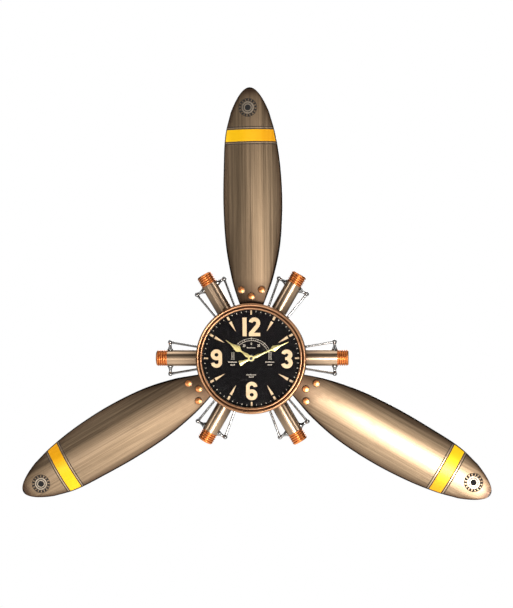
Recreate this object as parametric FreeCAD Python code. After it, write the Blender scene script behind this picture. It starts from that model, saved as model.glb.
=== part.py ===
import FreeCAD, Part
import math
import os

# Wall clock styled as an aircraft nose: a round dial in a drum, six dummy engine
# cylinders and three propeller blades.  All sizes in millimetres.
# The clock is laid out face up: x to the right, y up the dial, z forward from the
# wall.  save() then stands it up, so forward becomes -Y and the wall plane is Y = 0.

Vector = FreeCAD.Vector
FORWARD = Vector(0, 0, 1)
RADIAL = Vector(1, 0, 0)

# case drum
drum_radius = 80.0
drum_wall = 1.2
drum_back = 2.5
drum_front = 40.0
window_size = 60.0
window_corner = 6.0
foot_radius = 6.0
foot_circle = 67.0
hanger_height = 54.0
keyhole_radius = 4.5
keyhole_slot = 2.25
keyhole_rise = 8.0

# bezel, lens and dial
bezel_radius = 86.0
sight_radius = 76.0
lens_radius = 78.4
lens_low = 42.0
lens_high = 44.0
dial_low = 33.0
dial_high = 34.0

# propeller blades
blade_angles = {"top": 90.0, "right": -30.0, "left": 210.0}
blade_skin = 1.2
blade_flange = 6.0
blade_root = 82.5
blade_seat = 27.0
blade_left_edge = [(74, 14.2), (100, 23.2), (130, 31.4), (180, 40.2), (240, 44), (300, 43.2),
                   (350, 40.2), (385, 31.5), (408, 19)]
blade_right_edge = [(74, -14.4), (100, -23.8), (130, -33.8), (180, -44.6), (240, -49), (300, -46.4),
                    (350, -39), (385, -29.5), (408, -16.5)]
blade_tip = (424, 1)
blade_camber = 120.0
bolt_places = [(97.0, 0.0), (107.0, 16.0), (107.0, -16.0)]
bracket_low = 16.0
bracket_high = 18.0
pad_low = 23.0

# engine cylinders
cylinder_hours = {"01": 60.0, "03": 0.0, "05": -60.0, "07": -120.0, "09": 180.0, "11": 120.0}
cylinder_depth = 22.0
tube_radius = 12.6
tube_wall = 1.2
tube_end = 133.5
cap_end = 151.0
post_reach = 129.5
ball_offset = 25.0
ball_radius = 3.5
rod_radius = 1.8
rod_foot = (78.3, 16.3)

# quartz movement
movement_half = 28.0
movement_back = 17.0
movement_front = 32.5
movement_wall = 1.2
battery_radius = 7.25
battery_height = -19.0
battery_depth = 23.85
arbor_radius = 1.45
pipe_radius = 2.5
bushing_radius = 4.0
motion_place = (10.0, 0.0)
third_place = (9.72 * math.cos(math.radians(150)), 9.72 * math.sin(math.radians(150)))
seconds_place = (third_place[0] + 8.84 * math.cos(math.radians(80)),
                 third_place[1] + 8.84 * math.sin(math.radians(80)))

# hands, shown at eleven minutes past ten
minute_angle = 66.6
hour_angle = 305.55


def disc(radius, low, high, x=0.0, y=0.0):
    return Part.makeCylinder(radius, high - low, Vector(x, y, low), FORWARD)


def ring(outer, inner, low, high, x=0.0, y=0.0):
    return disc(outer, low, high, x, y).cut(disc(inner, low - 1, high + 1, x, y))


def block(x0, x1, y0, y1, low, high):
    return Part.makeBox(x1 - x0, y1 - y0, high - low, Vector(x0, y0, low))


def rounded_block(half_x, half_y, corner, low, high, x=0.0, y=0.0):
    solid = block(x - half_x, x + half_x, y - half_y, y + half_y, low, high)
    upright = [e for e in solid.Edges if abs(e.BoundBox.ZLength - (high - low)) < 1e-6]
    return solid.makeFillet(corner, upright)


def hexagon(across, low, high, x=0.0, y=0.0):
    corner = across / math.sqrt(3)
    points = [Vector(x + corner * math.cos(math.radians(60 * i)),
                     y + corner * math.sin(math.radians(60 * i)), low) for i in range(7)]
    return Part.Face(Part.makePolygon(points)).extrude(Vector(0, 0, high - low))


def plate(points, low, high):
    corners = [Vector(x, y, low) for x, y in points]
    return Part.Face(Part.makePolygon(corners + corners[:1])).extrude(Vector(0, 0, high - low))


def turned(profile):
    """Solid of revolution about the clock's axis from (radius, height) points."""
    corners = [Vector(r, 0, z) for r, z in profile]
    face = Part.Face(Part.makePolygon(corners + corners[:1]))
    return face.revolve(Vector(0, 0, 0), FORWARD, 360)


def turned_along(profile, start, direction):
    """Solid of revolution from (radius, distance) points, about a line from start."""
    corners = [Vector(r, 0, z) for r, z in profile]
    face = Part.Face(Part.makePolygon(corners + corners[:1]))
    solid = face.revolve(Vector(0, 0, 0), FORWARD, 360)
    solid.Placement = FreeCAD.Placement(start, FreeCAD.Rotation(FORWARD, direction))
    return solid


def rod(radius, start, end):
    return Part.makeCylinder(radius, (end - start).Length, start, end - start)


def at_angle(shape, degrees):
    copy = shape.copy()
    copy.rotate(Vector(0, 0, 0), FORWARD, degrees)
    return copy


def save(node, *shapes):
    solids = [solid for shape in shapes for solid in shape.Solids]
    whole = solids[0] if len(solids) == 1 else Part.makeCompound(solids)
    whole = whole.copy()
    whole.rotate(Vector(0, 0, 0), RADIAL, 90)
    whole.exportStep("parts/" + node + ".step")
    box = whole.BoundBox
    print("%-20s %3d solids %10.1f mm3  x %.1f %.1f  y %.1f %.1f  z %.1f %.1f %s" % (
        node, len(solids), whole.Volume, box.XMin, box.XMax, box.YMin, box.YMax,
        box.ZMin, box.ZMax, "" if whole.isValid() else "INVALID"))


# ---- case drum, back plate, hanger and feet ----

def rod_direction(side):
    ball = Vector(post_reach, side * ball_offset, cylinder_depth)
    foot = Vector(rod_foot[0], side * rod_foot[1], cylinder_depth)
    return ball, foot, (foot - ball).normalize()


def make_case():
    wall = ring(drum_radius, drum_radius - drum_wall, drum_back, drum_front)
    drilling = []
    for angle in cylinder_hours.values():
        hole = rod(2.1, Vector(70, 0, cylinder_depth), Vector(90, 0, cylinder_depth))
        drilling.append(at_angle(hole, angle))
        for side in (1, -1):
            ball, foot, along = rod_direction(side)
            drilling.append(at_angle(rod(rod_radius + 0.05, foot - along * 4, foot + along * 6), angle))
    for angle in blade_angles.values():
        for lean in (8.6, -8.6):
            hole = rod(1.6, Vector(70, 0, 10.5), Vector(90, 0, 10.5))
            drilling.append(at_angle(hole, angle + lean))
    for angle in (30, 150, 270):
        hole = rod(1.5, Vector(70, 0, 38.2), Vector(90, 0, 38.2))
        drilling.append(at_angle(hole, angle))
    save("case_wall", wall.cut(drilling))

    back = disc(drum_radius - drum_wall, drum_back, drum_back + 1.2)
    window = rounded_block(window_size / 2, window_size / 2, window_corner, 0, 10)
    relief = rounded_block(7, 11, 5, 0, 10, 0, hanger_height + 3)
    rivet_holes = [disc(1.6, 0, 10, x, hanger_height + 3) for x in (-14, 14)]
    save("case_back", back.cut([window, relief] + rivet_holes))

    hanger = rounded_block(19, 15, 3, 3.7, 5.2, 0, hanger_height + 3)
    slot = block(-keyhole_slot, keyhole_slot, hanger_height, hanger_height + keyhole_rise, 0, 10)
    top = disc(keyhole_slot, 0, 10, 0, hanger_height + keyhole_rise)
    keyhole = disc(keyhole_radius, 0, 10, 0, hanger_height).fuse([slot, top])
    save("hanger_plate", hanger.cut([keyhole] + rivet_holes))

    rivets = []
    for x in (-14, 14):
        shank = disc(1.6, 2.5, 5.2, x, hanger_height + 3)
        head = disc(2.8, 5.2, 6.4, x, hanger_height + 3)
        tail = disc(2.6, 1.7, 2.5, x, hanger_height + 3)
        rivets.append(shank.fuse([head, tail]).removeSplitter())
    save("hanger_rivets", *rivets)

    feet = []
    for angle in (45, 135, 225, 315):
        foot = disc(foot_radius, 0, drum_back, foot_circle, 0)
        foot = foot.makeChamfer(0.5, [e for e in foot.Edges if e.BoundBox.ZMax < 0.01])
        feet.append(at_angle(foot, angle))
    save("case_feet", *feet)


# ---- bezel, lens and dial stack ----

def make_front():
    outer_bead = [(83.15 + 2.85 * math.cos(math.radians(a)), 45.0 + 3.0 * math.sin(math.radians(a)))
                  for a in range(0, 166, 15)]
    inner_bead = [(78.1 + 2.1 * math.cos(math.radians(a)), 45.1 + 2.2 * math.sin(math.radians(a)))
                  for a in range(15, 181, 15)]
    profile = [(80.1, 36.0), (81.4, 36.0), (81.4, 43.5), (84.6, 43.5), (84.6, 36.0), (86.0, 36.0)]
    profile += outer_bead + inner_bead
    profile += [(sight_radius, 44.1), (78.7, 44.1), (78.7, 40.2), (80.1, 40.2)]
    bezel = turned(profile)
    screws = []
    for angle in (30, 150, 270):
        screw = rod(1.5, Vector(79.2, 0, 38.2), Vector(85.4, 0, 38.2))
        socket = rod(0.8, Vector(83.6, 0, 38.2), Vector(87, 0, 38.2))
        screws.append(at_angle(screw.cut(socket), angle))
        hole = rod(1.5, Vector(70, 0, 38.2), Vector(90, 0, 38.2))
        bezel = bezel.cut(at_angle(hole, angle))
    save("bezel", bezel)
    save("bezel_screws", *screws)
    save("lens", disc(lens_radius, lens_low, lens_high))
    save("lens_gasket", ring(78.2, 76.4, lens_low - 0.6, lens_low))
    save("dial_spacer", ring(78.4, 76.2, dial_high, lens_low - 0.6))
    save("dial", disc(78.4, dial_low, dial_high).cut(disc(4.05, 30, 40)))
    seat = ring(drum_radius - drum_wall, 76.0, dial_low - 2, dial_low)
    lip = ring(drum_radius - drum_wall, 77.8, dial_low - 6, dial_low - 2)
    save("dial_seat", seat.fuse(lip).removeSplitter())


# ---- propeller blades and their fixings ----

def blade_slab(depth):
    """Curved sheet of the given depth under the blade's front surface."""
    low = Vector(60, 0, blade_seat - blade_camber)
    high = Vector(440, 0, blade_seat - blade_camber)
    return rod(blade_camber, low, high).cut(rod(blade_camber - depth, low, high))


def blade_outline(inset):
    """Closed outline of a blade, drawn in by the inset."""
    points = [Vector(u - inset * (u > 380), v + inset, 0) for u, v in blade_right_edge]
    points.append(Vector(blade_tip[0] - inset, blade_tip[1], 0))
    points += [Vector(u - inset * (u > 380), v - inset, 0) for u, v in reversed(blade_left_edge)]
    curve = Part.BSplineCurve()
    curve.interpolate(points)
    root = Part.makeLine(points[-1], points[0])
    return Part.Face(Part.Wire([curve.toShape(), root]))


def make_blades():
    blank = blade_outline(0).extrude(Vector(0, 0, 60))
    core = blade_outline(blade_skin).extrude(Vector(0, 0, 60))
    hollow = rod(blade_camber - blade_skin, Vector(60, 0, blade_seat - blade_camber),
                 Vector(440, 0, blade_seat - blade_camber)).common(core)
    blade = blade_slab(blade_flange).common(blank).cut(hollow)
    bores = []
    for u, v in bolt_places:
        blade = blade.fuse(disc(6.2, pad_low, blade_seat, u, v))
        blade = blade.cut(disc(6.2, blade_seat, blade_seat + 5, u, v))
        bores.append(disc(2.6, 0, 60, u, v))
    blade = blade.cut(bores + [disc(blade_root, 0, 60)])
    for name, angle in blade_angles.items():
        save("blade_" + name, at_angle(blade, angle))

    shelf = plate([(70, -14), (88, -17), (102, -22.2), (112, -22.2), (117, -17),
                   (117, 17), (112, 22.2), (102, 22.2), (88, 17), (70, 14)],
                  bracket_low, bracket_high)
    apron = ring(drum_radius + 2, drum_radius, 6, bracket_low).common(block(60, 90, -20, 20, 0, 30))
    bracket = shelf.cut(disc(drum_radius, 0, 40)).fuse(apron).removeSplitter()
    drill = [disc(2.6, 0, 60, u, v) for u, v in bolt_places]
    for lean in (8.6, -8.6):
        drill.append(at_angle(rod(1.6, Vector(70, 0, 10.5), Vector(90, 0, 10.5)), lean))
    bracket = bracket.cut(drill)
    rivet = turned_along([(0, 77.2), (3, 77.2), (3, 78.7), (1.6, 78.7), (1.6, 82), (3, 82),
                          (2.4, 83.2), (0, 83.6)], Vector(0, 0, 10.5), RADIAL)
    brackets = []
    rivets = []
    spacers = []
    bolts = []
    washers = []
    nuts = []
    dome = [(5.0 * math.cos(math.radians(a)), 28.4 + 2.6 * math.sin(math.radians(a)))
            for a in range(0, 91, 15)]
    for angle in blade_angles.values():
        brackets.append(at_angle(bracket, angle))
        rivets += [at_angle(rivet, angle + 8.6), at_angle(rivet, angle - 8.6)]
        for u, v in bolt_places:
            spacers.append(at_angle(ring(6.0, 2.6, bracket_high, pad_low, u, v), angle))
            head = turned_along([(0, blade_seat), (5.0, blade_seat)] + dome, Vector(u, v, 0), FORWARD)
            bolt = head.fuse(disc(2.5, 11.2, blade_seat, u, v)).removeSplitter()
            bolts.append(at_angle(bolt, angle))
            washers.append(at_angle(ring(5.2, 2.6, 15.2, bracket_low, u, v), angle))
            nut = hexagon(8.0, 11.2, 15.2, u, v).cut(disc(2.5, 0, 30, u, v))
            nuts.append(at_angle(nut, angle))
    save("blade_brackets", *brackets)
    save("bracket_rivets", *rivets)
    save("blade_spacers", *spacers)
    save("blade_bolts", *bolts)
    save("blade_washers", *washers)
    save("blade_nuts", *nuts)


# ---- dummy engine cylinders ----

def make_cylinders():
    base = Vector(0, 0, cylinder_depth)
    barrel = turned_along([(tube_radius - tube_wall, 70), (tube_radius, 70), (tube_radius, tube_end),
                           (tube_radius - tube_wall, tube_end)], base, RADIAL)
    barrel = barrel.cut(disc(drum_radius, 0, 60))
    filler = rod(tube_radius, Vector(70, 0, cylinder_depth), Vector(tube_end + 4, 0, cylinder_depth))

    cap_profile = [(9.8, 127.5), (11.4, 127.5), (11.4, tube_end), (12.4, tube_end)]
    for rib in range(4):
        low = tube_end + 2.2 + 3.4 * rib
        cap_profile += [(12.4, low), (11.2, low + 0.2), (11.2, low + 1.2), (12.4, low + 1.4)]
    cap_profile += [(12.4, 149.2), (10.6, cap_end), (0, cap_end), (0, 149), (2.0, 149), (2.0, 145), (9.8, 145)]
    cap = turned_along(cap_profile, base, RADIAL)

    tie = turned_along([(0, 74.8), (3.8, 74.8), (3.8, 78.8), (2.0, 78.8), (2.0, 148.4), (0, 148.4)],
                       base, RADIAL)
    tie = tie.common(disc(78.8, 0, 60).fuse(rod(2.0, Vector(76, 0, cylinder_depth),
                                                Vector(150, 0, cylinder_depth))))
    for hour, angle in cylinder_hours.items():
        save("cylinder_tube_" + hour, at_angle(barrel, angle))
        save("cylinder_cap_" + hour, at_angle(cap, angle))

    ties = []
    posts = []
    rods = []
    nuts = []
    for angle in cylinder_hours.values():
        ties.append(at_angle(tie, angle))
        for side in (1, -1):
            ball, foot, along = rod_direction(side)
            outward = Vector(0, side, 0)
            stand = Vector(post_reach, 0, cylinder_depth)
            stem = turned_along([(0, 8), (4.5, 8), (4.5, 14.4), (3.0, 15.0), (2.2, 16.0),
                                 (2.2, 23), (0, 23)], stand, outward)
            globe = Part.makeSphere(ball_radius, ball)
            posts.append(at_angle(stem.fuse(globe).cut(filler), angle))
            push = rod(rod_radius, ball, foot + along * 1.5).cut(globe)
            rods.append(at_angle(push, angle))
            nut = hexagon(6.0, 0, 7)
            nut.Placement = FreeCAD.Placement(foot - along * 5.5, FreeCAD.Rotation(FORWARD, along))
            nut = nut.cut([disc(drum_radius, 0, 60), rod(rod_radius, ball, foot + along * 9)])
            nuts.append(at_angle(nut, angle))
    save("cylinder_ties", *ties)
    save("rocker_posts", *posts)
    save("pushrods", *rods)
    save("pushrod_nuts", *nuts)


# ---- quartz movement ----

def gear(teeth, module, low, high, place, phase):
    """Spur gear with a 25 degree pressure angle, stub teeth and thinned flanks."""
    pitch = teeth * module / 2
    base = pitch * math.cos(math.radians(25))
    tip = pitch + 0.75 * module
    root = pitch - 1.05 * module
    inv = math.tan(math.radians(25)) - math.radians(25)
    half = math.pi / (2 * teeth) - 0.08 * module / pitch
    flank = []
    for step in range(5):
        r = max(base, root) + (tip - max(base, root)) * step / 4
        a = math.acos(min(1.0, base / r))
        flank.append((r, half + inv - (math.tan(a) - a)))
    points = []
    for tooth in range(teeth):
        middle = phase + 2 * math.pi * tooth / teeth
        outline = [(root, -flank[0][1])] if root < base else []
        outline += [(r, -a) for r, a in flank]
        outline += [(r, a) for r, a in reversed(flank)]
        outline += [(root, flank[0][1])] if root < base else []
        for r, a in outline:
            points.append((place[0] + r * math.cos(middle + a), place[1] + r * math.sin(middle + a)))
    return plate(points, low, high)


def meshed_phase(teeth, place, phase, other_teeth, other_place):
    """Phase of the second gear whose tooth gap meets a tooth of the first."""
    line = math.atan2(other_place[1] - place[1], other_place[0] - place[0])
    share = (line - phase) / (2 * math.pi / teeth)
    return line + math.pi + (share + 0.5) * 2 * math.pi / other_teeth


def hand_outline(half_profile):
    left = [(-w, r) for r, w in half_profile if w > 0]
    right = [(w, r) for r, w in reversed(half_profile)]
    return left + right


def make_movement():
    half = movement_half
    inner = half - movement_wall
    shell = rounded_block(half, half, 3, movement_back, movement_front)
    gear_bay = block(-inner, inner, -10.2, inner, movement_back - 1, movement_front - movement_wall)
    battery_bay = block(-inner, inner, -inner, -11.2, movement_back - 1, movement_front - movement_wall)
    shell = shell.cut([gear_bay, battery_bay])
    shell = shell.fuse(ring(bushing_radius, pipe_radius + 0.06, movement_front - 0.5, 36.3))
    shell = shell.cut(disc(pipe_radius + 0.06, 30, 40))
    pivots = [motion_place, third_place, seconds_place]
    shell = shell.cut([disc(0.65, 31, 32.0, x, y) for x, y in pivots])
    save("movement_housing", shell.removeSplitter())

    cover = rounded_block(half, 19.6, 3, 15.8, movement_back, 0, 8.4)
    cover = cover.cut([disc(0.65, 16.3, 18, x, y) for x, y in (third_place, seconds_place, (0, 0))])
    cover = cover.cut(disc(0.85, 15, 18, motion_place[0], motion_place[1]))
    save("movement_cover", cover)
    save("movement_washer", ring(9.0, 4.05, movement_front, dial_low))
    nut = ring(5.6, bushing_radius, dial_high, 35.4)
    notches = [at_angle(block(4.9, 6, -0.6, 0.6, 33, 36), 60 * i) for i in range(6)]
    save("movement_nut", nut.cut(notches))

    cell = rod(battery_radius, Vector(-25.25, battery_height, battery_depth),
               Vector(24.25, battery_height, battery_depth))
    nub = rod(2.75, Vector(24.25, battery_height, battery_depth),
              Vector(25.25, battery_height, battery_depth))
    save("battery", cell.fuse(nub))
    contacts = []
    for side in (1, -1):
        low, high = sorted((side * 25.25, side * inner))
        contacts.append(block(low, high, battery_height - 4, battery_height + 4, 20, 28))
    save("battery_contacts", *contacts)
    save("circuit_board", block(2, inner, 11, 25, 18.2, 19.2))
    core = block(3, inner, 21, 24, 22.5, 24.5)
    legs = block(3, 6, 12, 21, 22.5, 24.5).fuse(block(inner - 3, inner, 12, 21, 22.5, 24.5))
    save("stator", core.fuse(legs).removeSplitter())
    coil = rod(3.6, Vector(7.5, 22.5, 23.5), Vector(22.5, 22.5, 23.5)).cut(core)
    save("coil", coil)

    minute_phase = 0.2
    pinion = gear(10, 0.5, 27.0, 29.0, (0, 0), minute_phase)
    centre = gear(64, 0.27, 24.6, 25.4, (0, 0), minute_phase)
    arbor = disc(0.6, 16.4, 18.6).fuse([disc(1.2, 18.6, 27.0), disc(arbor_radius, 27.0, 40.0)])
    save("minute_arbor", arbor.fuse([pinion, centre]).removeSplitter())

    motion_phase = meshed_phase(10, (0, 0), minute_phase, 30, motion_place)
    wheel = gear(30, 0.5, 27.2, 28.4, motion_place, motion_phase)
    small = gear(8, 0.5, 28.4, 31.0, motion_place, motion_phase)
    shaft = disc(0.8, 12.2, 27.2, *motion_place).fuse(disc(0.6, 31.0, 31.8, *motion_place))
    save("motion_wheel", wheel.fuse([small, shaft]).removeSplitter())
    knob = disc(5.0, 12.2, 15.2, *motion_place).cut(disc(0.8, 11, 16, *motion_place))
    knurls = []
    for index in range(20):
        turn = 2 * math.pi * index / 20
        knurls.append(disc(0.45, 11, 16, motion_place[0] + 5.1 * math.cos(turn),
                           motion_place[1] + 5.1 * math.sin(turn)))
    save("setting_knob", knob.cut(knurls))

    hour_phase = meshed_phase(8, motion_place, motion_phase, 32, (0, 0))
    hour_wheel = gear(32, 0.5, 29.6, 30.8, (0, 0), hour_phase)
    pipe = disc(pipe_radius, 29.6, 37.2)
    save("hour_wheel", hour_wheel.fuse(pipe).cut(disc(arbor_radius + 0.05, 29, 38)).removeSplitter())

    third_phase = meshed_phase(64, (0, 0), minute_phase, 8, third_place)
    third = gear(60, 0.26, 21.6, 22.3, third_place, third_phase)
    small = gear(8, 0.27, 24.2, 25.8, third_place, third_phase)
    shaft = disc(0.6, 16.4, 31.8, *third_place)
    save("third_wheel", third.fuse([small, shaft]).removeSplitter())
    seconds_phase = meshed_phase(60, third_place, third_phase, 8, seconds_place)
    seconds = gear(46, 0.26, 19.0, 19.8, seconds_place, seconds_phase)
    small = gear(8, 0.26, 21.2, 22.8, seconds_place, seconds_phase)
    shaft = disc(0.6, 16.4, 31.8, *seconds_place)
    save("seconds_wheel", seconds.fuse([small, shaft]).removeSplitter())

    # half widths of the hands along their length
    hour_half = [(-4.0, 1.9), (3.0, 2.2), (9.0, 3.0), (16.0, 1.2), (19.6, 1.2), (26.0, 4.85),
                 (38.4, 1.1), (48.8, 0.25)]
    minute_half = [(-19.8, 4.4), (-12.0, 2.3), (-4.0, 1.3), (4.0, 1.6), (10.0, 2.5), (20.0, 1.2),
                   (33.0, 1.1), (38.5, 4.5), (50.0, 1.0), (63.6, 0.25)]
    hour_hand = plate(hand_outline(hour_half), 36.7, 37.2).fuse(disc(4.6, 36.7, 37.2))
    hour_hand = hour_hand.cut(disc(pipe_radius, 36, 38)).removeSplitter()
    save("hour_hand", at_angle(hour_hand, -hour_angle))
    minute_hand = plate(hand_outline(minute_half), 38.4, 38.9).fuse(disc(4.5, 38.4, 38.9))
    minute_hand = minute_hand.cut(disc(arbor_radius, 38, 39)).removeSplitter()
    save("minute_hand", at_angle(minute_hand, -minute_angle))
    save("hand_nut", disc(2.6, 38.9, 40.4).cut(disc(arbor_radius, 38, 40.0)))


make_case()
make_front()
make_blades()
make_cylinders()
make_movement()
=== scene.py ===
import math

import bmesh
import bpy
from mathutils import Matrix, Vector


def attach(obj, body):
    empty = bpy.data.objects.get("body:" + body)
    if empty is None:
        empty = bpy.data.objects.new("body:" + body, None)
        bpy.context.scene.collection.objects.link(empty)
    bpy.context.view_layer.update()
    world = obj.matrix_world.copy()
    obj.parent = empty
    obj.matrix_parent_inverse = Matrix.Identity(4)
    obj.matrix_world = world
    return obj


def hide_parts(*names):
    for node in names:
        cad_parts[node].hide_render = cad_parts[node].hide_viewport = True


bl_info = {
    "name": "Propeller Wall Clock",
    "version": (1, 0, 0),
    "blender": (4, 5, 0),
    "location": "3D View > Sidebar > Clock",
    "description": "Makes the visible pieces of a wall clock styled as an aircraft nose",
    "category": "Object",
}

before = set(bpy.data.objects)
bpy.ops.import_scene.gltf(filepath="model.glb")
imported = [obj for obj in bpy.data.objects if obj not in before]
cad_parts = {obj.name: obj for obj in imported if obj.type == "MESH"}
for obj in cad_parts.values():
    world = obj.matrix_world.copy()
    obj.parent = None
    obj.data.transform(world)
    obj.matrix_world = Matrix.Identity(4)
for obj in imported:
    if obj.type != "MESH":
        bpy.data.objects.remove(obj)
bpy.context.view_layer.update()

# Pieces are shaped in millimetres on the clock's face: x right, y up, z forward from
# the wall.  UPRIGHT stands them up in metres, so forward becomes -Y.
MM = 0.001
UPRIGHT = Matrix.Rotation(math.radians(90), 4, "X") @ Matrix.Scale(MM, 4)
CASE = "clock_case"

# Where the pieces that ring the dial stand, in degrees anticlockwise from three.
HOURS = {"01": 60, "03": 0, "05": -60, "07": -120, "09": 180, "11": 120}
BLADES = {"top": 90, "right": -30, "left": 210}
BOLT_PLACES = ((97, 0), (107, 16), (107, -16))

# Blade: its two edges as (station from the dial's centre, place across), the height of
# its middle, where its grid starts, the arc beside the drum that its foot is drawn to,
# the depth of its turned-back edge and the thickness of its sheet.
LEFT_EDGE = ((74, 14.2), (100, 23.2), (130, 31.4), (180, 40.2), (240, 44), (300, 43.2),
             (350, 40.2), (385, 31.5))
RIGHT_EDGE = ((74, -14.4), (100, -23.8), (130, -33.8), (180, -44.6), (240, -49),
              (300, -46.4), (350, -39), (385, -29.5))
BLADE_SKIN = 27
BLADE_START = 82.5
BLADE_ROOT = 82.6
EDGE_DEPTH = 5.4
SHEET = 1.2

# Drum, dial and glass: radii and heights above the wall.
DRUM_OUTER, DRUM_INNER = 80, 78.8
BACK_PLATE = 2.5
DIAL_RADIUS = 78.4
DIAL_FRONT = 34
GLASS_BACK, GLASS_FRONT = 42.02, 43.98

# Print: its ground level, the step between overlapping strokes, and how far it is sunk.
PRINT_BASE = DIAL_FRONT + 0.02
PRINT_STEP = 0.03
PRINT_DEPTH = 0.3
CREAM, SMALL = 1, 2

# Cylinders: depth of their axes, foot at the drum, and the pushrod's two ends.
CYLINDER_DEPTH = 22.0
CYLINDER_FOOT = 79.0
POST_STATION = 129.5
BALL_OUT = 25.0
ROD_FOOT = (78.3, 16.3)

# Hands: station along the hand and half width there.
HOUR_HAND = ((-4.0, 1.9), (3.0, 2.2), (9.0, 3.0), (13.0, 1.9), (16.0, 1.2), (19.6, 1.2),
             (24.5, 4.6), (26.5, 4.85), (29.0, 4.1), (38.4, 1.1), (48.8, 0.25))
MINUTE_HAND = ((-19.8, 3.9), (-19.0, 4.4), (-12.0, 2.3), (-4.0, 1.3), (4.0, 1.6),
               (10.0, 2.5), (14.0, 1.9), (20.0, 1.2), (33.0, 1.1), (37.0, 4.1),
               (38.5, 4.5), (41.0, 3.9), (50.0, 1.0), (63.6, 0.25))
HOUR_AT, MINUTE_AT = 305.55, 66.6

# Plain dashes for small print: middle, height of the row and its length.
DASH_ROWS = ((0, 15.6, 13.5), (0, -26.5, 15), (0, -30.0, 8), (-29, -6.6, 14),
             (-29, -11.0, 7), (29, -6.6, 14), (29, -11.0, 7))

# Softboxes: name, place, aim, width, height, power and colour.
WARM, WHITE = (1.0, 0.98, 0.95), (1, 1, 1)
SOFTBOXES = (
    ("low_right", (0.48, -2.3, -0.52), (0.22, 0, -0.12), 0.6, 0.55, 46, WARM),
    ("low_left", (-0.85, -2.3, -0.52), (-0.2, 0, -0.12), 0.6, 0.5, 3.7, WARM),
    ("high_top", (-0.2, -2.3, 0.75), (0, 0, 0.24), 0.7, 0.5, 1.0, (1.0, 0.97, 0.94)),
    ("side_left", (-1.9, -1.2, 0.9), (0, 0, 0), 0.5, 1.4, 9, WHITE),
    ("side_right", (1.9, -1.2, 0.9), (0, 0, 0), 0.5, 1.4, 11, WHITE),
    ("rear_fill", (0.3, 2.6, 0.9), (0, 0, 0), 1.6, 1.2, 36, WHITE),
    ("overhead", (0, -0.2, 2.6), (0, -0.2, 0), 2.2, 1.8, 22, WHITE),
    ("under_fill", (0, -0.2, -1.2), (0, -0.1, 0), 2.0, 1.2, 5, WHITE),
)


# ---- settings

class ClockSizes(bpy.types.PropertyGroup):
    bezel_radius: bpy.props.FloatProperty(
        name="Bezel radius", description="Outer radius of the beaded bezel",
        default=0.086, unit="LENGTH")
    sight_radius: bpy.props.FloatProperty(
        name="Sight radius", description="Radius of the opening inside the bezel",
        default=0.076, unit="LENGTH")
    blade_tip: bpy.props.FloatProperty(
        name="Blade tip", description="Distance of the blade tips from the dial's centre",
        default=0.424, unit="LENGTH")
    blade_camber: bpy.props.FloatProperty(
        name="Blade camber", description="Radius of the curve across a blade",
        default=0.120, unit="LENGTH")
    band_centre: bpy.props.FloatProperty(
        name="Band centre", description="Distance of the painted band from the dial's centre",
        default=0.349, unit="LENGTH")
    band_width: bpy.props.FloatProperty(
        name="Band width", description="Width of the painted band",
        default=0.0186, unit="LENGTH")
    badge_centre: bpy.props.FloatProperty(
        name="Badge centre", description="Distance of the round badge from the dial's centre",
        default=0.3925, unit="LENGTH")
    badge_radius: bpy.props.FloatProperty(
        name="Badge radius", description="Radius of the round printed badge",
        default=0.0147, unit="LENGTH")
    tube_radius: bpy.props.FloatProperty(
        name="Cylinder radius", description="Outer radius of the cylinder tubes",
        default=0.0126, unit="LENGTH")
    numeral_height: bpy.props.FloatProperty(
        name="Numeral height", description="Height of the four hour numbers",
        default=0.029, unit="LENGTH")


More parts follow.
